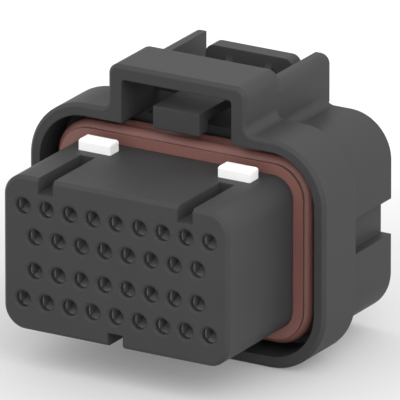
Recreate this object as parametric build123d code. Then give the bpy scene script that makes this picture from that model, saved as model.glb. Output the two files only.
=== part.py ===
from build123d import *
import os

# A sealed 34-way socket connector for a wiring harness. Lengths are in millimetres.
# X runs across, Y runs from the mating face back to the wires, and Z runs up to the latch.
# The origin is the middle of the contact grid, on the mating face.

# Contact grid: two long rows outside, two short rows inside
contact_pitch = 3.0
long_row_count = 9
short_row_count = 8
inner_row_height = 2.0
outer_row_height = 5.5

# Pin holes and contact cavities
funnel_radius = 1.22
funnel_depth = 0.2
pin_hole_radius = 0.94
pin_hole_side_count = 12
mating_wall = 0.8
contact_width = 1.9
contact_height = 2.1
contact_play = 0.1
barrel_room_width = 2.3
barrel_room_height = 2.55

# Nose that goes into the mating header, and the fit of its block in the housing
nose_side_margin = 2.5
nose_end_margin = 3.6
nose_corner = 2.6
nose_edge = 0.4
block_fit = 0.02
top_groove_offset = 9.0
top_groove_width = 1.95
top_groove_depth = 1.85
top_groove_length = 9.3
keyway_width = 1.95
keyway_depth = 1.6
keyway_end_gap = 1.0

# Secondary lock plate and its slot
lock_front = 10.7
lock_thickness = 1.9
lock_play = 0.05
lock_frame = 0.45
lock_travel = 1.3
lock_head = 1.15
lock_corner = 1.3
lock_window_play = 0.25
tab_offset = 9.02
tab_width = 4.1
tab_rise = 1.38
tab_edge = 0.4

# Interface seal round the root of the nose
seal_setback = 1.0
seal_fit = 0.04
seal_sleeve = 1.25
seal_rib_rise = 0.72
seal_rib_width = 1.15
seal_rib_count = 2
seal_first_rib = 0.4
seal_rib_pitch = 2.0

# Shroud and the web that closes it
shroud_front = 13.4
shroud_length = 6.9
shroud_wall = 1.4
shroud_corner = 7.2
shroud_front_edge = 0.4
mating_gap_side = 3.25
mating_gap_top = 3.0
web_thickness = 1.6

# Portal over the latch
portal_inner_width = 14.2
portal_inner_height = 3.75
portal_roof = 1.68
portal_wall = 1.8
portal_overhang = 0.4
portal_top_corner = 1.3
portal_foot = 1.1
portal_inner_corner = 0.4

# Rear body
rear_wall_side = 2.8
rear_wall_top = 2.84
rear_length = 11.05
rear_corner = 5.2
rail_drop = 1.5
rail_overhang = 0.85
side_groove_width = 4.2
side_groove_depth = 1.32
core_length = 3.1
chamber_side_margin = 2.6
chamber_end_margin = 3.5
chamber_corner = 3.0
relief_height = 0.9
relief_width = 6.4
relief_spacing = 7.4
relief_depth = 5.5
relief_wall = 0.95

# Wire seal and rear cover
wire_seal_thickness = 4.2
wire_hole_radius = 0.6
wire_hole_side_count = 6
seal_waist_gap = 0.2
cover_thickness = 2.8
cover_play = 0.1
cover_hole_radius = 1.1
cover_hole_side_count = 8
arm_thickness = 1.05
arm_width = 3.9
arm_play = 0.05
hook_reach = 0.9
hook_length = 1.6
hook_flat = 0.3
window_width = 3.2
window_play = 0.1

# Latch lever
lever_width = 6.0
lever_thickness = 1.2
lever_lift = 0.2
hook_depth = 1.4
hook_block_length = 1.9
hook_block_edge = 0.25
pad_width = 11.3
pad_length = 2.0
pad_height = 2.1
pad_corner = 1.1
pad_end_gap = 0.7
gusset_radius = 1.3
gusset_width = 0.9
hinge_depth = 8.0
hinge_bar_width = 1.0
hinge_bar_height = 0.8
hinge_play = 0.05

# Socket contact, folded from strip
strip = 0.2
box_gap = 0.05
tongue_width = 1.4
tongue_start = 0.1
tongue_crest = 1.6
tongue_length = 6.4
tongue_rise = 0.7
barrel_gap = 0.7
barrel_length = 5.6
barrel_rise = 1.8

# Values worked out from the sizes above
long_row_half = (long_row_count - 1) * contact_pitch / 2
nose_half_x = long_row_half + nose_side_margin
nose_half_z = outer_row_height + nose_end_margin
shroud_rear = shroud_front + shroud_length
web_front = shroud_rear - web_thickness
seal_front = shroud_front + seal_setback
shroud_inner_x = nose_half_x + mating_gap_side
shroud_inner_z = nose_half_z + mating_gap_top
shroud_half_x = shroud_inner_x + shroud_wall
shroud_half_z = shroud_inner_z + shroud_wall
portal_half_x = portal_inner_width / 2 + portal_wall
roof_under = shroud_half_z + portal_inner_height
roof_top = roof_under + portal_roof
portal_rear = shroud_rear + portal_overhang
chamber_half_x = long_row_half + chamber_side_margin
chamber_half_z = outer_row_height + chamber_end_margin
rear_half_x = chamber_half_x + rear_wall_side
rear_half_z = chamber_half_z + rear_wall_top
rear_end = shroud_rear + rear_length
rail_top = roof_top - rail_drop
wire_seal_front = shroud_rear + core_length
cover_front = wire_seal_front + wire_seal_thickness
groove_floor = rear_half_x - side_groove_depth
arm_outer = chamber_half_x + arm_thickness * 0.3
arm_channel = arm_outer + arm_play
cavity_half_width = contact_width / 2 + contact_play
cavity_floor = -contact_height / 2
cavity_top = contact_height / 2 + contact_play
lock_rear = lock_front + lock_thickness
slot_front = lock_front - lock_play
slot_rear = lock_rear + lock_play
lock_window_half = cavity_half_width + lock_window_play / 2
lock_half_x = long_row_half + lock_window_half + lock_frame
lock_top = outer_row_height + cavity_top + lock_window_play / 2 + lock_head
lever_bottom = shroud_half_z + lever_lift
lever_top = lever_bottom + lever_thickness
pad_rear = rear_end + rail_overhang - pad_end_gap
hinge_y = shroud_front + hinge_depth
hinge_z = (lever_bottom + lever_top) / 2


def row(count, height):
    """Middle of each contact in one row, as X and Z."""
    start = -(count - 1) * contact_pitch / 2
    return [(start + place * contact_pitch, height) for place in range(count)]


contact_places = (
    row(long_row_count, outer_row_height)
    + row(short_row_count, inner_row_height)
    + row(short_row_count, -inner_row_height)
    + row(long_row_count, -outer_row_height)
)


def through(section, front, rear):
    """Extrude a section drawn in X and Z from one depth back to another."""
    return extrude(Plane.XZ.offset(-front) * section, amount=front - rear)


def sideways(section, width):
    """Extrude a section drawn in Y and Z evenly to both sides of the middle."""
    return extrude(Plane.YZ * section, amount=width / 2, both=True)


def block(x0, x1, y0, y1, z0, z1):
    """A plain block between two corners."""
    centre = Pos((x0 + x1) / 2, (y0 + y1) / 2, (z0 + z1) / 2)
    return centre * Box(x1 - x0, y1 - y0, z1 - z0)


def rounded(half_x, half_z, corner):
    """A rounded rectangle in X and Z about the middle."""
    return RectangleRounded(2 * half_x, 2 * half_z, corner)


def panel(x0, x1, z0, z1):
    """A plain rectangle in X and Z."""
    return Pos((x0 + x1) / 2, (z0 + z1) / 2) * Rectangle(x1 - x0, z1 - z0)


def corners_at(section, places):
    """The corners of a section that lie at the places given."""
    found = []
    for x, z in places:
        near = section.vertices().sort_by_distance((x, z, 0))
        found.append(near[0])
    return found


def edges_at_depth(solid, depth):
    """The edges of a solid that lie wholly at one depth."""
    found = solid.edges().filter_by_position(Axis.Y, depth, depth, (True, True))
    return [edge for edge in found if edge.bounding_box().size.Y < 0.001]


def both_sides(solid):
    """A solid and its mirror image across the middle."""
    return [solid, mirror(solid, Plane.YZ)]


def nose_shape():
    """The block that enters the header, with its bevelled mating edge and its three keys."""
    nose = through(rounded(nose_half_x, nose_half_z, nose_corner), 0, wire_seal_front)
    nose = chamfer(edges_at_depth(nose, 0), nose_edge)
    groove = block(
        top_groove_offset - top_groove_width / 2,
        top_groove_offset + top_groove_width / 2,
        0,
        top_groove_length,
        nose_half_z - top_groove_depth,
        nose_half_z,
    )
    keyway = block(
        -keyway_width / 2,
        keyway_width / 2,
        0,
        seal_front - keyway_end_gap,
        -nose_half_z,
        -nose_half_z + keyway_depth,
    )
    return nose - both_sides(groove) - keyway


def shroud_shape():
    """The shroud and the latch portal over it, as one outline run back and hollowed."""
    outline = rounded(shroud_half_x, shroud_half_z, shroud_corner)
    outline += panel(-portal_half_x, portal_half_x, shroud_inner_z, roof_top)
    feet = [(side * portal_half_x, shroud_half_z) for side in (-1, 1)]
    outline = fillet(corners_at(outline, feet), portal_foot)
    crown = [(side * portal_half_x, roof_top) for side in (-1, 1)]
    outline = fillet(corners_at(outline, crown), portal_top_corner)
    body = through(outline, shroud_front, shroud_rear)
    body = chamfer(edges_at_depth(body, shroud_front), shroud_front_edge)

    overhang = panel(-portal_half_x, portal_half_x, rear_half_z - portal_foot, roof_top)
    overhang = fillet(corners_at(overhang, crown), portal_top_corner)
    body += through(overhang, shroud_rear, portal_rear)

    inner_x = shroud_inner_x
    inner_z = shroud_inner_z
    hollow = rounded(inner_x, inner_z, shroud_corner - shroud_wall)
    body -= through(hollow, shroud_front, web_front)
    return body


def portal_opening():
    """The tunnel under the portal roof and the notch in the shroud where the hook sits."""
    half = portal_inner_width / 2
    tunnel = panel(-half, half, shroud_half_z, roof_under)
    crown = [(side * half, roof_under) for side in (-1, 1)]
    tunnel = fillet(corners_at(tunnel, crown), portal_inner_corner)
    notch = block(-half, half, shroud_front, web_front, nose_half_z, shroud_half_z)
    behind = panel(-half, half, rear_half_z, roof_under)
    behind = fillet(corners_at(behind, crown), portal_inner_corner)
    return [
        through(tunnel, shroud_front, portal_rear),
        notch,
        through(behind, web_front, portal_rear),
    ]


def rear_shape():
    """The rear body with the two rails that guard the thumb pad."""
    half = portal_inner_width / 2
    outline = rounded(rear_half_x, rear_half_z, rear_corner)
    for side in (-1, 1):
        inner = side * half
        outer = side * portal_half_x
        outline += panel(min(inner, outer), max(inner, outer), 0, rail_top)
    feet = [(side * portal_half_x, rear_half_z) for side in (-1, 1)]
    outline = fillet(corners_at(outline, feet), portal_foot)
    crown = [(side * portal_half_x, rail_top) for side in (-1, 1)]
    outline = fillet(corners_at(outline, crown), portal_foot)
    body = through(outline, shroud_rear, rear_end)
    rail = panel(half, portal_half_x, rear_half_z, rail_top)
    rail = fillet(corners_at(rail, [(portal_half_x, rail_top)]), portal_foot)
    return body + both_sides(through(rail, rear_end, rear_end + rail_overhang))


def rear_hollows():
    """Everything cut from the rear body: seal chamber, arm channels, windows, grooves and reliefs."""
    chamber = rounded(chamber_half_x, chamber_half_z, chamber_corner)
    half_arm = arm_width / 2 + arm_play
    chamber += panel(-arm_channel, arm_channel, -half_arm, half_arm)
    half_groove = side_groove_width / 2
    groove = block(
        groove_floor, rear_half_x, shroud_rear, rear_end, -half_groove, half_groove
    )
    window_rear = wire_seal_front + window_play + hook_length + window_play
    window = block(
        chamber_half_x,
        groove_floor,
        wire_seal_front + window_play,
        window_rear,
        -window_width / 2,
        window_width / 2,
    )
    relief_top = rear_half_z - relief_wall
    reliefs = []
    for place in (-1, 0, 1):
        middle = place * relief_spacing
        for side in (-1, 1):
            near = side * (relief_top - relief_height)
            far = side * relief_top
            reliefs.append(
                block(
                    middle - relief_width / 2,
                    middle + relief_width / 2,
                    rear_end - relief_depth,
                    rear_end,
                    min(near, far),
                    max(near, far),
                )
            )
    hollows = [through(chamber, wire_seal_front, rear_end)]
    hollows += both_sides(groove) + both_sides(window) + reliefs
    return hollows


def cavity():
    """One contact cavity about the middle of its hole: funnel, pin hole, box room and barrel room."""
    wide = RegularPolygon(funnel_radius, pin_hole_side_count)
    narrow = RegularPolygon(pin_hole_radius, pin_hole_side_count)
    funnel = loft([Plane.XZ * wide, Plane.XZ.offset(-funnel_depth) * narrow], ruled=True)
    mouth = funnel + through(narrow, funnel_depth, mating_wall)
    box_room = panel(-cavity_half_width, cavity_half_width, cavity_floor, cavity_top)
    barrel_room = panel(
        -barrel_room_width / 2,
        barrel_room_width / 2,
        cavity_floor,
        cavity_floor + barrel_room_height,
    )
    return (
        mouth
        + through(box_room, mating_wall, slot_rear)
        + through(barrel_room, slot_rear, wire_seal_front)
    )


def lock_slot():
    """The slot for the lock plate, open at the bottom of the nose, with two tab windows on top."""
    half = lock_half_x + lock_play
    slot = panel(-half, half, -nose_half_z, lock_top)
    crown = [(side * half, lock_top) for side in (-1, 1)]
    slot = fillet(corners_at(slot, crown), lock_corner)
    cuts = [through(slot, slot_front, slot_rear)]
    tab_half = tab_width / 2 + lock_play
    window = block(
        tab_offset - tab_half,
        tab_offset + tab_half,
        slot_front,
        slot_rear,
        lock_top,
        nose_half_z,
    )
    return cuts + both_sides(window)


def housing():
    """The moulded housing: shroud, portal, rails and rear body, with the pocket for the contact block."""
    pocket = rounded(nose_half_x + block_fit, nose_half_z + block_fit, nose_corner + block_fit)
    body = shroud_shape() + rear_shape()
    body -= portal_opening()
    body -= rear_hollows()
    return body - through(pocket, web_front, wire_seal_front)


def contact_block():
    """The block that carries the contacts, from the mating face back to the wire seal."""
    hole = cavity()
    block_body = nose_shape() - lock_slot()
    return block_body - [Pos(x, 0, z) * hole for x, z in contact_places]


def latch_lever():
    """The sprung lever: hook at the front, torsion bar under the portal, thumb pad at the rear."""
    hook_bottom = lever_bottom - hook_depth
    pad_front = pad_rear - pad_length
    arm = panel(shroud_front, pad_rear, lever_bottom, lever_top)
    arm += panel(shroud_front, shroud_front + hook_block_length, hook_bottom, lever_top)
    lever = sideways(arm, lever_width)
    lower = lever.edges().filter_by(Axis.Y).group_by(Axis.Z)[0]
    lever = fillet(lower, hook_block_edge)

    pad = panel(-pad_width / 2, pad_width / 2, lever_bottom, lever_top + pad_height)
    crown = [(side * pad_width / 2, lever_top + pad_height) for side in (-1, 1)]
    pad = fillet(corners_at(pad, crown), pad_corner)
    lever += through(pad, pad_front, pad_rear)

    sweep = panel(pad_front - gusset_radius, pad_front, lever_top, lever_top + gusset_radius)
    sweep -= Pos(pad_front - gusset_radius, lever_top + gusset_radius) * Circle(gusset_radius)
    gusset_place = lever_width / 2 - gusset_width / 2
    for side in (-1, 1):
        lever += Pos(side * gusset_place, 0, 0) * sideways(sweep, gusset_width)

    bar_half = portal_inner_width / 2 - hinge_play
    bar = panel(
        hinge_y - hinge_bar_width / 2,
        hinge_y + hinge_bar_width / 2,
        hinge_z - hinge_bar_height / 2,
        hinge_z + hinge_bar_height / 2,
    )
    return lever + sideways(bar, 2 * bar_half)


def interface_seal():
    """The silicone ring round the root of the nose: a sleeve with ribs outside."""
    def ring(rise, front, rear):
        return through(
            rounded(nose_half_x + rise, nose_half_z + rise, nose_corner + rise), front, rear
        )

    sleeve = ring(seal_sleeve, seal_front, web_front)
    for place in range(seal_rib_count):
        front = seal_front + seal_first_rib + place * seal_rib_pitch
        sleeve += ring(seal_sleeve + seal_rib_rise, front, front + seal_rib_width)
    return sleeve - ring(seal_fit, seal_front, web_front)


def secondary_lock_plate():
    """The white plate that slides down behind the contacts, with two tabs above the nose."""
    bottom = -nose_half_z + lock_travel + 2 * lock_play
    plate = panel(-lock_half_x, lock_half_x, bottom, lock_top)
    crown = [(side * lock_half_x, lock_top) for side in (-1, 1)]
    plate = fillet(corners_at(plate, crown), lock_corner)
    key_room = keyway_width / 2 + lock_play
    plate -= panel(-key_room, key_room, bottom, bottom + keyway_depth)
    window = panel(
        -lock_window_half,
        lock_window_half,
        cavity_floor - lock_window_play / 2,
        cavity_top + lock_window_play / 2,
    )
    plate -= [Pos(x, z) * window for x, z in contact_places]
    lock = through(plate, lock_front, lock_rear)
    tab = block(
        tab_offset - tab_width / 2,
        tab_offset + tab_width / 2,
        lock_front,
        lock_rear,
        lock_top,
        nose_half_z + tab_rise,
    )
    tab = fillet(tab.faces().sort_by(Axis.Z)[-1].edges(), tab_edge)
    return lock + both_sides(tab)


def wire_seal():
    """The silicone mat that grips the wires, waisted at both ends for the cover's arms."""
    rear = wire_seal_front + wire_seal_thickness
    outline = rounded(
        chamber_half_x - seal_fit, chamber_half_z - seal_fit, chamber_corner - seal_fit
    )
    mat = through(outline, wire_seal_front, rear)
    waist_x = arm_outer - arm_thickness - seal_waist_gap
    waist_z = arm_width / 2 + seal_waist_gap
    waist = block(
        waist_x, chamber_half_x, wire_seal_front, rear, -waist_z, waist_z
    )
    mat -= both_sides(waist)
    hole = through(RegularPolygon(wire_hole_radius, wire_hole_side_count), wire_seal_front, rear)
    return mat - [Pos(x, 0, z) * hole for x, z in contact_places]


def rear_cover():
    """The cover that holds the wire seal in: a plate of wire holes and two arms that snap outwards."""
    rear = cover_front + cover_thickness
    outline = rounded(
        chamber_half_x - cover_play, chamber_half_z - cover_play, chamber_corner - cover_play
    )
    outline += panel(-arm_outer, arm_outer, -arm_width / 2, arm_width / 2)
    hole = RegularPolygon(cover_hole_radius, cover_hole_side_count)
    outline -= [Pos(x, z) * hole for x, z in contact_places]
    plate = through(outline, cover_front, rear)
    hook_front = wire_seal_front + 2 * window_play
    arm = block(
        arm_outer - arm_thickness,
        arm_outer,
        wire_seal_front + window_play,
        cover_front,
        -arm_width / 2,
        arm_width / 2,
    )
    barb = Polyline(
        (arm_outer, hook_front),
        (arm_outer + hook_reach, hook_front + hook_length - hook_flat - window_play),
        (arm_outer + hook_reach, hook_front + hook_length - window_play),
        (arm_outer, hook_front + hook_length - window_play),
        close=True,
    )
    barb_width = window_width - 2 * window_play
    arm += extrude(make_face(barb), amount=barb_width / 2, both=True)
    return plate + both_sides(arm)


def contact():
    """One socket contact about the middle of its hole, folded from strip."""
    half = contact_width / 2
    floor = cavity_floor
    front = mating_wall + box_gap
    box_rear = slot_front - box_gap
    shell = panel(-half, half, floor, -floor)
    shell -= panel(-half + strip, half - strip, floor + strip, -floor - strip)
    body = through(shell, front, box_rear)

    barrel_front = slot_rear + barrel_gap
    barrel_rear = barrel_front + barrel_length
    body += through(panel(-half, half, floor, floor + strip), box_rear, barrel_front)
    barrel = panel(-half, half, floor, floor + barrel_rise)
    barrel -= panel(-half + strip, half - strip, floor + strip, floor + barrel_rise)
    body += through(barrel, barrel_front, barrel_rear)

    bed = floor + strip
    start = front + tongue_start
    tongue = Polyline(
        (start, bed),
        (start + tongue_crest, bed + tongue_rise),
        (start + tongue_length, bed),
        close=True,
    )
    return body + sideways(make_face(tongue), tongue_width)


os.makedirs("parts", exist_ok=True)
pieces = {
    "housing": housing(),
    "contact_block": contact_block(),
    "latch_lever": latch_lever(),
    "interface_seal": interface_seal(),
    "secondary_lock_plate": secondary_lock_plate(),
    "wire_seal": wire_seal(),
    "rear_cover": rear_cover(),
}
single_contact = contact()
for number, (x, z) in enumerate(contact_places, start=1):
    pieces[f"contact_{number:02d}"] = Pos(x, 0, z) * single_contact
for name, piece in pieces.items():
    export_step(piece, f"parts/{name}.step")
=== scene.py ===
import math

import bpy
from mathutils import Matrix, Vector


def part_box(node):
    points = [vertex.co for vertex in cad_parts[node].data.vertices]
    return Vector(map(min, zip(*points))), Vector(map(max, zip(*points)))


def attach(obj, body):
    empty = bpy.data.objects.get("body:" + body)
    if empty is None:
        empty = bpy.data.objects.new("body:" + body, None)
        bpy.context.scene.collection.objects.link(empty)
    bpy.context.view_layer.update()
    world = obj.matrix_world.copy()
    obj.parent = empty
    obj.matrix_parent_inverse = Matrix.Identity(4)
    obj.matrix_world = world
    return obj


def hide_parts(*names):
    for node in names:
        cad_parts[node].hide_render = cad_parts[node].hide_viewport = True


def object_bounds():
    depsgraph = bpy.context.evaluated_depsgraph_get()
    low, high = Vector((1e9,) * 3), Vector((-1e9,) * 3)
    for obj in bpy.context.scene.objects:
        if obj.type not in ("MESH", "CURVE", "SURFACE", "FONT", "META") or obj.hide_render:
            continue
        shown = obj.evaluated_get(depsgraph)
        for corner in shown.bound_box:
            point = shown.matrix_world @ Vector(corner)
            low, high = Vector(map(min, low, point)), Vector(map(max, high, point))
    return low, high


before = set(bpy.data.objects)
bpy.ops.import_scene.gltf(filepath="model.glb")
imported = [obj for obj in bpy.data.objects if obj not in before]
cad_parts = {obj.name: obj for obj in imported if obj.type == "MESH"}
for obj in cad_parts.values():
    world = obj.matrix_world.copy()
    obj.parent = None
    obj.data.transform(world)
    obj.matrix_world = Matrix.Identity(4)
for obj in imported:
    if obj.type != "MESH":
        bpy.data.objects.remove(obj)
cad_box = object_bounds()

bl_info = {
    "name": "Sealed connector socket",
    "version": (1, 0, 0),
    "blender": (4, 5, 0),
    "location": "View3D > Sidebar > Connector",
    "description": "Finishes, seals, collars and studio for a sealed 34-way socket connector",
    "category": "Object",
}

CONNECTOR_BODY = "connector"
MM = 0.001


# Sizes and places that the imported parts give

SEAL_LOW, SEAL_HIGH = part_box("interface_seal")
WIRE_SEAL_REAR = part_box("wire_seal")[1].y
COVER_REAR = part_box("rear_cover")[1].y
CONTACTS = sorted(
    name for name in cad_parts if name.startswith("contact_") and name[-2:].isdigit()
)


def contact_middle(name):
    """Where one contact sits across the connector, as X and Z."""
    low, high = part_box(name)
    return (low.x + high.x) / 2, (low.z + high.z) / 2


CONTACT_PLACES = [contact_middle(name) for name in CONTACTS]


# Shares and steps of the grown pieces

RIB_FULLNESS = 0.7          # 0.5 makes a half-round rib, 1 a flat arch
RIB_PROFILE_POINTS = 90
NOSE_CORNER_STEPS = 14
RING_STEPS = 28
RING_EDGE_STEPS = 3
LIP_ROUNDING = 0.48         # share of the lip's thickness
COLLAR_ROUNDING = 0.4       # share of the collar's wall
COLLAR_SETBACK = 0.05 * MM  # how far a collar starts behind the wire seal and ends behind the cover
SHARP_EDGE = math.radians(42.0)
FACING_REAR = (math.radians(90.0), 0.0, 0.0)


# Shares and scales of the finishes

DRIFT_SCALE = 160.0         # slow drifts to a metre
DRIFT_TO_ROUGHNESS = 0.5
GRAIN_DEPTH = 0.02 * MM


# Place of the floor, its painted shade and its haze

FLOOR_GAP = 0.02 * MM       # keeps the floor and the connector's underside from flickering
FLOOR_HEIGHT = cad_box[0].z - FLOOR_GAP
FLOOR_FORWARD = (0.50, -0.86, 0.0)
FLOOR_PAINTED_SHADE_START, FLOOR_PAINTED_SHADE_END = -100.0 * MM, -45.0 * MM  # measured forward; across this span the floor's colour darkens as painted shade
FLOOR_HAZE = 0.01           # how much the brightness wanders


# Settings that a user would change

class SealSettings(bpy.types.PropertyGroup):
    """Sizes and colour of the silicone seals."""

    sleeve: bpy.props.FloatProperty(
        name="Sleeve thickness",
        description="Thickness of the sleeve that hugs the nose",
        default=1.25 * MM,
        unit="LENGTH",
    )
    rib_rise: bpy.props.FloatProperty(
        name="Rib rise",
        description="How far each rib stands out of the sleeve",
        default=0.72 * MM,
        unit="LENGTH",
    )
    first_rib: bpy.props.FloatProperty(
        name="First rib",
        description="How far behind the front face the first rib starts",
        default=0.40 * MM,
        unit="LENGTH",
    )
    rib_width: bpy.props.FloatProperty(
        name="Rib width",
        description="Width of each rib at its root",
        default=1.4 * MM,
        unit="LENGTH",
    )
    rib_pitch: bpy.props.FloatProperty(
        name="Rib pitch",
        description="From the start of one rib to the start of the next",
        default=1.95 * MM,
        unit="LENGTH",
    )
    corner: bpy.props.FloatProperty(
        name="Nose corner",
        description="Corner radius of the nose under the seal",
        default=2.6 * MM,
        unit="LENGTH",
    )
    lip: bpy.props.FloatProperty(
        name="Wire lip",
        description="Thickness of the round lip at each wire hole",
        default=0.24 * MM,
        unit="LENGTH",
    )
    lip_radius: bpy.props.FloatProperty(
        name="Wire lip radius",
        description="Radius to the middle of the round lip at each wire hole",
        default=0.62 * MM,
        unit="LENGTH",
    )
    color: bpy.props.FloatVectorProperty(
        name="Silicone colour",
        description="Colour of the silicone seals",
        default=(0.193, 0.082, 0.069),
        subtype="COLOR",
        size=3,
    )


class MouldingSettings(bpy.types.PropertyGroup):
    """Colours and grain of the moulded pieces, and the collars of the rear cover."""

    housing_color: bpy.props.FloatVectorProperty(
        name="Housing colour",
        description="Colour of the housing, the contact block and the latch lever",
        default=(0.043, 0.043, 0.044),
        subtype="COLOR",
        size=3,
    )
    cover_color: bpy.props.FloatVectorProperty(
        name="Cover colour",
        description="Colour of the rear cover",
        default=(0.058, 0.058, 0.060),
        subtype="COLOR",
        size=3,
    )
    lock_color: bpy.props.FloatVectorProperty(
        name="Lock plate colour",
        description="Colour of the secondary lock plate",
        default=(0.94, 0.94, 0.93),
        subtype="COLOR",
        size=3,
    )
    collar_radius: bpy.props.FloatProperty(
        name="Collar radius",
        description="Radius to the middle of the collar in each wire hole of the rear cover",
        default=1.05 * MM,
        unit="LENGTH",
    )
    collar_wall: bpy.props.FloatProperty(
        name="Collar wall",
        description="Wall of the collar in each wire hole of the rear cover",
        default=0.18 * MM,
        unit="LENGTH",
    )
    grain: bpy.props.FloatProperty(
        name="Grain size",
        description="Size of the fine grain on the moulded faces",
        default=0.16 * MM,
        unit="LENGTH",
    )


class ContactSettings(bpy.types.PropertyGroup):
    """Finish of the socket contacts."""

    # Painted shade: the tin's grey is set dark to stand in for the shade deep in the pin holes
    color: bpy.props.FloatVectorProperty(
        name="Plating colour",
        description="Colour of the tin plating",
        default=(0.20, 0.196, 0.188),
        subtype="COLOR",
        size=3,
    )


class StudioSettings(bpy.types.PropertyGroup):
    """Camera, light and floor."""

    azimuth: bpy.props.FloatProperty(
        name="Azimuth",
        description="Angle of the camera round the connector, from the front towards the right",
        default=math.radians(30.4),
        subtype="ANGLE",
    )
    elevation: bpy.props.FloatProperty(
        name="Elevation",
        description="Angle of the camera above the horizon",
        default=math.radians(19.6),
        subtype="ANGLE",
    )
    frame_width: bpy.props.FloatProperty(
        name="Frame width",
        description="Width that the camera sees at the connector",
        default=44.45 * MM,
        unit="LENGTH",
    )
    lens: bpy.props.FloatProperty(
        name="Lens",
        description="Focal length, long enough for an almost parallel view",
        default=1500.0,
    )
    aim: bpy.props.FloatVectorProperty(
        name="Aim",
        description="Point that the camera looks at",
        default=(6.784 * MM, 7.088 * MM, 7.438 * MM),
        subtype="TRANSLATION",
        size=3,
    )
    fill: bpy.props.FloatProperty(
        name="Fill",
        description="Strength of the even light from all round",
        default=1.54,
    )
    key: bpy.props.FloatProperty(
        name="Key",
        description="Power of the large soft lamp, in watts",
        default=0.365,
    )
    key_size: bpy.props.FloatProperty(
        name="Key size",
        description="Width of the large soft lamp",
        default=300.0 * MM,
        unit="LENGTH",
    )
    key_place: bpy.props.FloatVectorProperty(
        name="Key place",
        description="Where the large soft lamp hangs",
        default=(243.0 * MM, -98.0 * MM, 177.0 * MM),
        subtype="TRANSLATION",
        size=3,
    )
    key_aim: bpy.props.FloatVectorProperty(
        name="Key aim",
        description="Point that the large soft lamp faces",
        default=(0.0, 12.0 * MM, 0.0),
        subtype="TRANSLATION",
        size=3,
    )
    floor_size: bpy.props.FloatProperty(
        name="Floor size",
        description="Width and depth of the floor",
        default=3.0,
        unit="LENGTH",
    )
    floor_far: bpy.props.FloatProperty(
        name="Far floor",
        description="Brightness of the floor behind the connector",
        default=0.60,
        subtype="FACTOR",
    )
    # Painted shade: the near floor is set darker to stand in for the shade under and before the
    # connector
    floor_near_painted_shade: bpy.props.FloatProperty(
        name="Near floor",
        description="Brightness of the floor under and before the connector",
        default=0.46,
        subtype="FACTOR",
    )
    floor_glow: bpy.props.FloatProperty(
        name="Floor glow",
        description="White that only the camera and a gloss see on the floor",
        default=0.17,
        subtype="FACTOR",
    )


SETTINGS = (
    ("connector_seal", SealSettings),
    ("connector_moulding", MouldingSettings),
    ("connector_contacts", ContactSettings),
    ("connector_studio", StudioSettings),
)


# Node helpers

def numbers(*labels):
    """Number inputs for a tree, by name."""
    return [(label, "NodeSocketFloat") for label in labels]


def new_tree(name, kind, inputs, outputs):
    """Make a node group with named sockets, and return it with its two end nodes."""
    tree = bpy.data.node_groups.new(name, kind)
    for direction, sockets in (("INPUT", inputs), ("OUTPUT", outputs)):
        for label, socket_type in sockets:
            tree.interface.new_socket(label, in_out=direction, socket_type=socket_type)
    return tree, tree.nodes.new("NodeGroupInput"), tree.nodes.new("NodeGroupOutput")


def feed(tree, socket, value):
    """Give a socket a link or a plain value."""
    if isinstance(value, bpy.types.NodeSocket):
        tree.links.new(value, socket)
    else:
        socket.default_value = value


def put(tree, kind, values=None, **settings):
    """Add one node, set its options and feed its inputs by name or number."""
    node = tree.nodes.new(kind)
    for name, value in settings.items():
        setattr(node, name, value)
    for name, value in (values or {}).items():
        feed(tree, node.inputs[name], value)
    return node


def calculator(tree):
    """A function that adds one Math node and returns its output."""
    def calculate(operation, *values):
        return put(tree, "ShaderNodeMath", dict(enumerate(values)), operation=operation).outputs[0]
    return calculate


def socket_id(tree, label):
    """The identifier of a group's input, found by its name."""
    for item in tree.interface.items_tree:
        if item.item_type == "SOCKET" and item.in_out == "INPUT" and item.name == label:
            return item.identifier
    raise ValueError("no input called " + label)


def grown(name, tree, values, body):
    """Run a geometry tree, keep the result as a plain mesh, and seat it on a body."""
    holder = bpy.data.objects.new(name + "_holder", bpy.data.meshes.new(name + "_holder"))
    bpy.context.scene.collection.objects.link(holder)
    modifier = holder.modifiers.new("build", "NODES")
    modifier.node_group = tree
    for label, value in values.items():
        modifier[socket_id(tree, label)] = value
    graph = bpy.context.evaluated_depsgraph_get()
    mesh = bpy.data.meshes.new_from_object(holder.evaluated_get(graph))
    bpy.data.objects.remove(holder)
    mesh.name = name
    piece = bpy.data.objects.new(name, mesh)
    bpy.context.scene.collection.objects.link(piece)
    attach(piece, body)
    return piece


# Finishes

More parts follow.
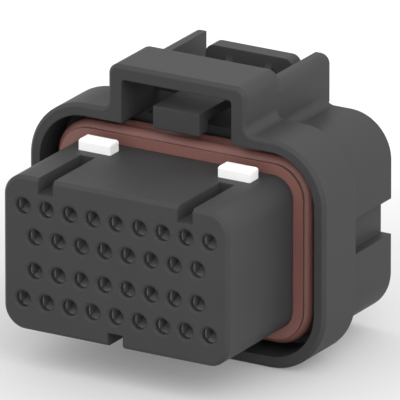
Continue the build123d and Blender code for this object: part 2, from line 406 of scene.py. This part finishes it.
def moulded_surface_group():
    """Fine grain, slow drift of colour and gloss, and rounded small edges."""
    tree, start, end = new_tree(
        "moulded_surface",
        "ShaderNodeTree",
        [("Color", "NodeSocketColor"), *numbers("Grain", "Drift", "Roughness", "Bump", "Edge")],
        [
            ("Color", "NodeSocketColor"),
            ("Roughness", "NodeSocketFloat"),
            ("Normal", "NodeSocketVector"),
        ],
    )
    given = start.outputs
    calculate = calculator(tree)
    place = put(tree, "ShaderNodeTexCoord").outputs["Object"]

    slow = put(tree, "ShaderNodeTexNoise", {
        "Vector": place, "Scale": DRIFT_SCALE, "Detail": 3.0, "Roughness": 0.5,
    })
    swing = calculate("MULTIPLY", calculate("SUBTRACT", slow.outputs["Fac"], 0.5), given["Drift"])
    tinted = put(tree, "ShaderNodeVectorMath", {
        0: given["Color"], "Scale": calculate("ADD", 1.0, swing),
    }, operation="SCALE")
    rough = calculate("ADD", given["Roughness"], calculate("MULTIPLY", swing, DRIFT_TO_ROUGHNESS))

    fine = put(tree, "ShaderNodeTexNoise", {
        "Vector": place, "Scale": calculate("DIVIDE", 1.0, given["Grain"]),
        "Detail": 2.0, "Roughness": 0.6,
    })
    rounding = put(tree, "ShaderNodeBevel", {"Radius": given["Edge"]}, samples=6)
    bump = put(tree, "ShaderNodeBump", {
        "Strength": given["Bump"], "Distance": GRAIN_DEPTH, "Height": fine.outputs["Fac"],
        "Normal": rounding.outputs["Normal"],
    })
    tree.links.new(tinted.outputs[0], end.inputs["Color"])
    tree.links.new(rough, end.inputs["Roughness"])
    tree.links.new(bump.outputs["Normal"], end.inputs["Normal"])
    return tree


def new_material(name):
    """A new material, with its tree and its shader."""
    material = bpy.data.materials.new(name)
    material.use_nodes = True
    return material, material.node_tree, material.node_tree.nodes["Principled BSDF"]


def surface_finish(name, color, grain, drift, roughness, bump, edge, plain=()):
    """A material made once: its own values in the shared group, plain ones on the shader."""
    if name in bpy.data.materials:
        return bpy.data.materials[name]
    material, tree, shader = new_material(name)
    shared = bpy.data.node_groups.get("moulded_surface") or moulded_surface_group()
    group = put(tree, "ShaderNodeGroup", {
        "Color": (*color, 1.0), "Grain": grain, "Drift": drift,
        "Roughness": roughness, "Bump": bump, "Edge": edge,
    }, node_tree=shared)
    for output, label in (
        ("Color", "Base Color"),
        ("Roughness", "Roughness"),
        ("Normal", "Normal"),
    ):
        tree.links.new(group.outputs[output], shader.inputs[label])
    for label, value in plain:
        shader.inputs[label].default_value = value
    material.diffuse_color = (*color, 1.0)
    return material


def black_moulding():
    """The glass-filled black plastic of the housing, the contact block and the lever."""
    settings = bpy.context.scene.connector_moulding
    return surface_finish(
        "black_moulding", settings.housing_color, settings.grain,
        drift=0.16, roughness=0.52, bump=0.25, edge=0.2 * MM, plain=[("Specular IOR Level", 0.15)],
    )


def cover_moulding():
    """The slightly paler black plastic of the rear cover."""
    settings = bpy.context.scene.connector_moulding
    return surface_finish(
        "cover_moulding", settings.cover_color, settings.grain,
        drift=0.16, roughness=0.55, bump=0.25, edge=0.2 * MM,
    )


def white_moulding():
    """The white plastic of the secondary lock plate."""
    settings = bpy.context.scene.connector_moulding
    return surface_finish(
        "white_moulding", settings.lock_color, settings.grain,
        drift=0.03, roughness=0.42, bump=0.15, edge=0.15 * MM,
    )


def silicone():
    """The brown-red silicone of both seals."""
    return surface_finish(
        "silicone", bpy.context.scene.connector_seal.color,
        grain=0.3 * MM, drift=0.2, roughness=0.44, bump=0.12, edge=0.1 * MM,
    )


def tin_plating():
    """The tin on the folded contacts: the tin's own grey, set darker as painted shade for the deep
    pin holes.
    """
    return surface_finish(
        "tin_plating", bpy.context.scene.connector_contacts.color,
        grain=0.4 * MM, drift=0.25, roughness=0.7, bump=0.1, edge=0.05 * MM,
        plain=[("Metallic", 0.35)],
    )


def dress(node, material):
    """Give a carried-over piece its material."""
    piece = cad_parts[node]
    piece.data.materials.clear()
    piece.data.materials.append(material)


# Geometry trees

def end_tree(tree, geometry, material, end):
    """End a geometry tree: smooth rounds, real geometry and its material."""
    angle = put(tree, "GeometryNodeInputMeshEdgeAngle").outputs["Unsigned Angle"]
    sharp = put(tree, "FunctionNodeCompare", {0: angle, 1: SHARP_EDGE}, operation="GREATER_THAN")
    smooth = put(tree, "GeometryNodeSetShadeSmooth", {
        0: geometry, 1: sharp.outputs[0], 2: False,
    }, domain="EDGE")
    real = put(tree, "GeometryNodeRealizeInstances", {0: smooth.outputs[0]})
    painted = put(tree, "GeometryNodeSetMaterial", {
        "Geometry": real.outputs[0], "Material": material,
    })
    tree.links.new(painted.outputs[0], end.inputs[0])


def seal_ring_tree(material):
    """A rounded rectangle swept with a profile of a sleeve and its ribs."""
    tree, start, end = new_tree(
        "seal_ring",
        "GeometryNodeTree",
        numbers(
            "Width", "Height", "Corner", "Front", "Length",
            "Sleeve", "Rib rise", "First rib", "Rib width", "Rib pitch",
        ),
        [("Geometry", "NodeSocketGeometry")],
    )
    given = start.outputs
    calculate = calculator(tree)

    path = put(tree, "GeometryNodeCurvePrimitiveQuadrilateral", {
        "Width": given["Width"], "Height": given["Height"],
    })
    path = put(tree, "GeometryNodeFilletCurve", {
        "Curve": path.outputs[0], "Radius": given["Corner"], "Count": NOSE_CORNER_STEPS,
    }, mode="POLY")

    # The first and last points of the profile lie on the nose, the others run from front to rear
    last = RIB_PROFILE_POINTS - 1
    line = put(tree, "GeometryNodeCurvePrimitiveLine")
    line = put(tree, "GeometryNodeResampleCurve", {
        "Curve": line.outputs[0], "Count": RIB_PROFILE_POINTS,
    })
    index = put(tree, "GeometryNodeInputIndex").outputs[0]
    along = calculate("DIVIDE", calculate("SUBTRACT", index, 1.0), last - 2.0)
    along = calculate("MINIMUM", calculate("MAXIMUM", along, 0.0), 1.0)
    outside = calculate(
        "MULTIPLY",
        calculate("GREATER_THAN", index, 0.5),
        calculate("LESS_THAN", index, last - 0.5),
    )

    # Each rib is an arch over its own width, counted from its start
    depth = calculate("MULTIPLY", along, given["Length"])
    reached = calculate("MAXIMUM", calculate("SUBTRACT", depth, given["First rib"]), 0.0)
    into = calculate("MODULO", reached, given["Rib pitch"])
    half_width = calculate("MULTIPLY", given["Rib width"], 0.5)
    across = calculate("SUBTRACT", calculate("DIVIDE", into, half_width), 1.0)
    arch = calculate("SUBTRACT", 1.0, calculate("MULTIPLY", across, across))
    arch = calculate("POWER", calculate("MAXIMUM", arch, 0.0), RIB_FULLNESS)
    outer = calculate("ADD", given["Sleeve"], calculate("MULTIPLY", given["Rib rise"], arch))

    spot = put(tree, "ShaderNodeCombineXYZ", {
        "X": calculate("MULTIPLY", outer, outside), "Y": depth,
    })
    profile = put(tree, "GeometryNodeSetPosition", {
        "Geometry": line.outputs[0], "Position": spot.outputs[0],
    })
    profile = put(tree, "GeometryNodeSetSplineCyclic", {
        "Geometry": profile.outputs[0], "Cyclic": True,
    })
    swept = put(tree, "GeometryNodeCurveToMesh", {
        "Curve": path.outputs[0], "Profile Curve": profile.outputs[0],
    })
    front = put(tree, "ShaderNodeCombineXYZ", {"Y": given["Front"]})
    seated = put(tree, "GeometryNodeTransform", {
        "Geometry": swept.outputs[0], "Translation": front.outputs[0], "Rotation": FACING_REAR,
    })
    end_tree(tree, seated.outputs[0], material, end)
    return tree


def ring_field_tree(material):
    """One ring with rounded edges at each point of the mesh that it is given."""
    tree, start, end = new_tree(
        "ring_field",
        "GeometryNodeTree",
        [("Places", "NodeSocketObject"), *numbers("Radius", "Wall", "Length", "Rounding")],
        [("Geometry", "NodeSocketGeometry")],
    )
    given = start.outputs
    places = put(tree, "GeometryNodeObjectInfo", {"Object": given["Places"]})
    points = put(tree, "GeometryNodeMeshToPoints", {"Mesh": places.outputs["Geometry"]})
    circle = put(tree, "GeometryNodeCurvePrimitiveCircle", {
        "Resolution": RING_STEPS, "Radius": given["Radius"],
    })
    section = put(tree, "GeometryNodeCurvePrimitiveQuadrilateral", {
        "Width": given["Wall"], "Height": given["Length"],
    })
    section = put(tree, "GeometryNodeFilletCurve", {
        "Curve": section.outputs[0], "Radius": given["Rounding"], "Count": RING_EDGE_STEPS,
    }, mode="POLY")
    ring = put(tree, "GeometryNodeCurveToMesh", {
        "Curve": circle.outputs[0], "Profile Curve": section.outputs[0],
    })
    upright = put(tree, "GeometryNodeTransform", {
        "Geometry": ring.outputs[0], "Rotation": FACING_REAR,
    })
    field = put(tree, "GeometryNodeInstanceOnPoints", {
        "Points": points.outputs[0], "Instance": upright.outputs[0],
    })
    end_tree(tree, field.outputs[0], material, end)
    return tree


def ring_field(name, front, rear, radius, wall, rounding, material):
    """Rings round every contact place, from one depth to another, as one piece."""
    middle = (front + rear) / 2
    mesh = bpy.data.meshes.new(name + "_places")
    mesh.from_pydata([(x, middle, z) for x, z in CONTACT_PLACES], [], [])
    places = bpy.data.objects.new(name + "_places", mesh)
    bpy.context.scene.collection.objects.link(places)
    piece = grown(
        name,
        ring_field_tree(material),
        {
            "Places": places,
            "Radius": radius,
            "Wall": wall,
            "Length": rear - front,
            "Rounding": rounding,
        },
        CONNECTOR_BODY,
    )
    bpy.data.objects.remove(places)
    return piece


# One operator for each piece or group of like pieces

class CONNECTOR_OT_housing(bpy.types.Operator):
    """Finish the black moulding of the housing, the contact block and the latch lever"""

    bl_idname = "connector.housing"
    bl_label = "Housing and lever"

    def execute(self, context):
        material = black_moulding()
        for node in ("housing", "contact_block", "latch_lever"):
            dress(node, material)
        return {"FINISHED"}


class CONNECTOR_OT_interface_seal(bpy.types.Operator):
    """Build the ribbed silicone ring round the root of the nose"""

    bl_idname = "connector.interface_seal"
    bl_label = "Interface seal"

    def execute(self, context):
        settings = context.scene.connector_seal
        reach = settings.sleeve + settings.rib_rise
        piece = grown(
            "interface_seal_ring",
            seal_ring_tree(silicone()),
            {
                "Width": SEAL_HIGH.x - SEAL_LOW.x - 2 * reach,
                "Height": SEAL_HIGH.z - SEAL_LOW.z - 2 * reach,
                "Corner": settings.corner,
                "Front": SEAL_LOW.y,
                "Length": SEAL_HIGH.y - SEAL_LOW.y,
                "Sleeve": settings.sleeve,
                "Rib rise": settings.rib_rise,
                "First rib": settings.first_rib,
                "Rib width": settings.rib_width,
                "Rib pitch": settings.rib_pitch,
            },
            CONNECTOR_BODY,
        )
        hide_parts("interface_seal")
        return {"FINISHED"}


class CONNECTOR_OT_lock_plate(bpy.types.Operator):
    """Finish the white secondary lock plate"""

    bl_idname = "connector.lock_plate"
    bl_label = "Secondary lock plate"

    def execute(self, context):
        dress("secondary_lock_plate", white_moulding())
        return {"FINISHED"}


class CONNECTOR_OT_wire_seal(bpy.types.Operator):
    """Finish the wire seal and add the round lip at each wire hole"""

    bl_idname = "connector.wire_seal"
    bl_label = "Wire seal"

    def execute(self, context):
        settings = context.scene.connector_seal
        material = silicone()
        dress("wire_seal", material)
        ring_field(
            "wire_seal_lips",
            front=WIRE_SEAL_REAR - settings.lip,
            rear=WIRE_SEAL_REAR,
            radius=settings.lip_radius,
            wall=settings.lip,
            rounding=settings.lip * LIP_ROUNDING,
            material=material,
        )
        return {"FINISHED"}


class CONNECTOR_OT_rear_cover(bpy.types.Operator):
    """Finish the snap-in rear cover and line its wire holes with round collars"""

    bl_idname = "connector.rear_cover"
    bl_label = "Rear cover"

    def execute(self, context):
        settings = context.scene.connector_moulding
        material = cover_moulding()
        dress("rear_cover", material)
        ring_field(
            "rear_cover_collars",
            front=WIRE_SEAL_REAR + COLLAR_SETBACK,
            rear=COVER_REAR + COLLAR_SETBACK,
            radius=settings.collar_radius,
            wall=settings.collar_wall,
            rounding=settings.collar_wall * COLLAR_ROUNDING,
            material=material,
        )
        return {"FINISHED"}


class CONNECTOR_OT_contacts(bpy.types.Operator):
    """Finish the tin-plated socket contacts"""

    bl_idname = "connector.contacts"
    bl_label = "Socket contacts"

    def execute(self, context):
        material = tin_plating()
        for node in CONTACTS:
            dress(node, material)
        return {"FINISHED"}


class CONNECTOR_OT_studio(bpy.types.Operator):
    """Set up the pale floor, the soft light and the camera"""

    bl_idname = "connector.studio"
    bl_label = "Studio"

    def execute(self, context):
        scene = context.scene
        settings = scene.connector_studio
        self.lay_floor(scene, settings)
        self.light_world(scene, settings)
        self.hang_key(scene, settings)
        self.place_camera(scene, settings)
        scene.view_settings.view_transform = "Standard"
        return {"FINISHED"}

    @staticmethod
    def lay_floor(scene, settings):
        """A wide pale floor under the connector, with painted shade that darkens it in front of and
        under the connector.
        """
        half = settings.floor_size / 2
        mesh = bpy.data.meshes.new("floor")
        corners = [(-half, -half), (half, -half), (half, half), (-half, half)]
        mesh.from_pydata([(x, y, FLOOR_HEIGHT) for x, y in corners], [], [(0, 1, 2, 3)])
        floor = bpy.data.objects.new("floor", mesh)
        scene.collection.objects.link(floor)
        material, tree, shader = new_material("pale_floor")
        shader.inputs["Roughness"].default_value = 0.9
        shader.inputs["Specular IOR Level"].default_value = 0.1
        calculate = calculator(tree)

        place = put(tree, "ShaderNodeTexCoord").outputs["Object"]
        haze = put(tree, "ShaderNodeTexNoise", {"Vector": place, "Scale": 3.0, "Detail": 1.0})
        spread = put(tree, "ShaderNodeMapRange", {
            "Value": haze.outputs["Fac"], "To Min": 1.0 - FLOOR_HAZE, "To Max": 1.0 + FLOOR_HAZE,
        })
        forward = put(tree, "ShaderNodeVectorMath", {
            0: place, 1: FLOOR_FORWARD,
        }, operation="DOT_PRODUCT")
        # Painted shade: the floor's colour darkens towards the front, standing in for the shade
        # before and under the connector
        painted_shade_fall = put(tree, "ShaderNodeMapRange", {
            "Value": forward.outputs["Value"],
            "From Min": FLOOR_PAINTED_SHADE_START, "From Max": FLOOR_PAINTED_SHADE_END,
            "To Min": settings.floor_far, "To Max": settings.floor_near_painted_shade,
        }, interpolation_type="SMOOTHSTEP")
        shade = calculate("MULTIPLY", painted_shade_fall.outputs[0], spread.outputs[0])
        tree.links.new(shade, shader.inputs["Base Color"])

        ray = put(tree, "ShaderNodeLightPath").outputs
        seen = calculate("MAXIMUM", ray["Is Camera Ray"], ray["Is Glossy Ray"])
        glow = calculate("MULTIPLY", seen, settings.floor_glow)
        shader.inputs["Emission Color"].default_value = (1.0, 1.0, 1.0, 1.0)
        tree.links.new(glow, shader.inputs["Emission Strength"])
        mesh.materials.append(material)

    @staticmethod
    def light_world(scene, settings):
        """Even light, and plain white where a camera, gloss or glass ray passes the floor."""
        world = bpy.data.worlds.new("studio")
        world.use_nodes = True
        tree = world.node_tree
        calculate = calculator(tree)
        ray = put(tree, "ShaderNodeLightPath").outputs
        seen = calculate("MAXIMUM", ray["Is Camera Ray"], ray["Is Transmission Ray"])
        seen = calculate("MAXIMUM", seen, ray["Is Glossy Ray"])
        # A strength of 1, which is white, where it is seen, and the fill everywhere else
        strength = calculate("MULTIPLY_ADD", seen, 1.0 - settings.fill, settings.fill)
        back = tree.nodes["Background"]
        back.inputs["Color"].default_value = (1.0, 1.0, 1.0, 1.0)
        tree.links.new(strength, back.inputs["Strength"])
        scene.world = world

    @staticmethod
    def hang_key(scene, settings):
        """One large soft lamp above, to the right and a little in front."""
        lamp = bpy.data.lights.new("key", "AREA")
        lamp.shape = "DISK"
        lamp.size = settings.key_size
        lamp.energy = settings.key
        key = bpy.data.objects.new("key", lamp)
        key.location = settings.key_place
        towards = Vector(settings.key_aim) - key.location
        key.rotation_euler = towards.to_track_quat("-Z", "Y").to_euler()
        scene.collection.objects.link(key)

    @staticmethod
    def place_camera(scene, settings):
        """A very long lens at the photograph's angle, for its almost parallel view."""
        lens = bpy.data.cameras.new("camera")
        lens.sensor_width = 36.0
        lens.lens = settings.lens
        distance = settings.frame_width * settings.lens / lens.sensor_width
        lens.clip_start = distance * 0.1
        lens.clip_end = distance * 4.0
        flat = math.cos(settings.elevation)
        back = Vector((
            math.sin(settings.azimuth) * flat,
            -math.cos(settings.azimuth) * flat,
            math.sin(settings.elevation),
        ))
        camera = bpy.data.objects.new("camera", lens)
        camera.location = Vector(settings.aim) + back * distance
        camera.rotation_euler = (-back).to_track_quat("-Z", "Y").to_euler()
        scene.collection.objects.link(camera)
        scene.camera = camera


OPERATORS = (
    CONNECTOR_OT_housing,
    CONNECTOR_OT_interface_seal,
    CONNECTOR_OT_lock_plate,
    CONNECTOR_OT_wire_seal,
    CONNECTOR_OT_rear_cover,
    CONNECTOR_OT_contacts,
    CONNECTOR_OT_studio,
)


class CONNECTOR_PT_sidebar(bpy.types.Panel):
    """The connector's pieces and settings"""

    bl_idname = "CONNECTOR_PT_sidebar"
    bl_label = "Connector socket"
    bl_space_type = "VIEW_3D"
    bl_region_type = "UI"
    bl_category = "Connector"

    def draw(self, context):
        for operator in OPERATORS:
            self.layout.operator(operator.bl_idname)
        for group, kind in SETTINGS:
            values = getattr(context.scene, group)
            box = self.layout.box()
            for name in kind.__annotations__:
                box.prop(values, name)


def register():
    """Register the settings, the operators and the panel."""
    for group, kind in SETTINGS:
        bpy.utils.register_class(kind)
        setattr(bpy.types.Scene, group, bpy.props.PointerProperty(type=kind))
    for operator in OPERATORS:
        bpy.utils.register_class(operator)
    bpy.utils.register_class(CONNECTOR_PT_sidebar)


def unregister():
    """Take away what register added."""
    bpy.utils.unregister_class(CONNECTOR_PT_sidebar)
    for operator in reversed(OPERATORS):
        bpy.utils.unregister_class(operator)
    for group, kind in reversed(SETTINGS):
        delattr(bpy.types.Scene, group)
        bpy.utils.unregister_class(kind)


def main():
    """Build the connector's looks in order."""
    register()
    bpy.ops.connector.housing()
    bpy.ops.connector.interface_seal()
    bpy.ops.connector.lock_plate()
    bpy.ops.connector.wire_seal()
    bpy.ops.connector.rear_cover()
    bpy.ops.connector.contacts()
    bpy.ops.connector.studio()


if __name__ == "__main__":
    main()
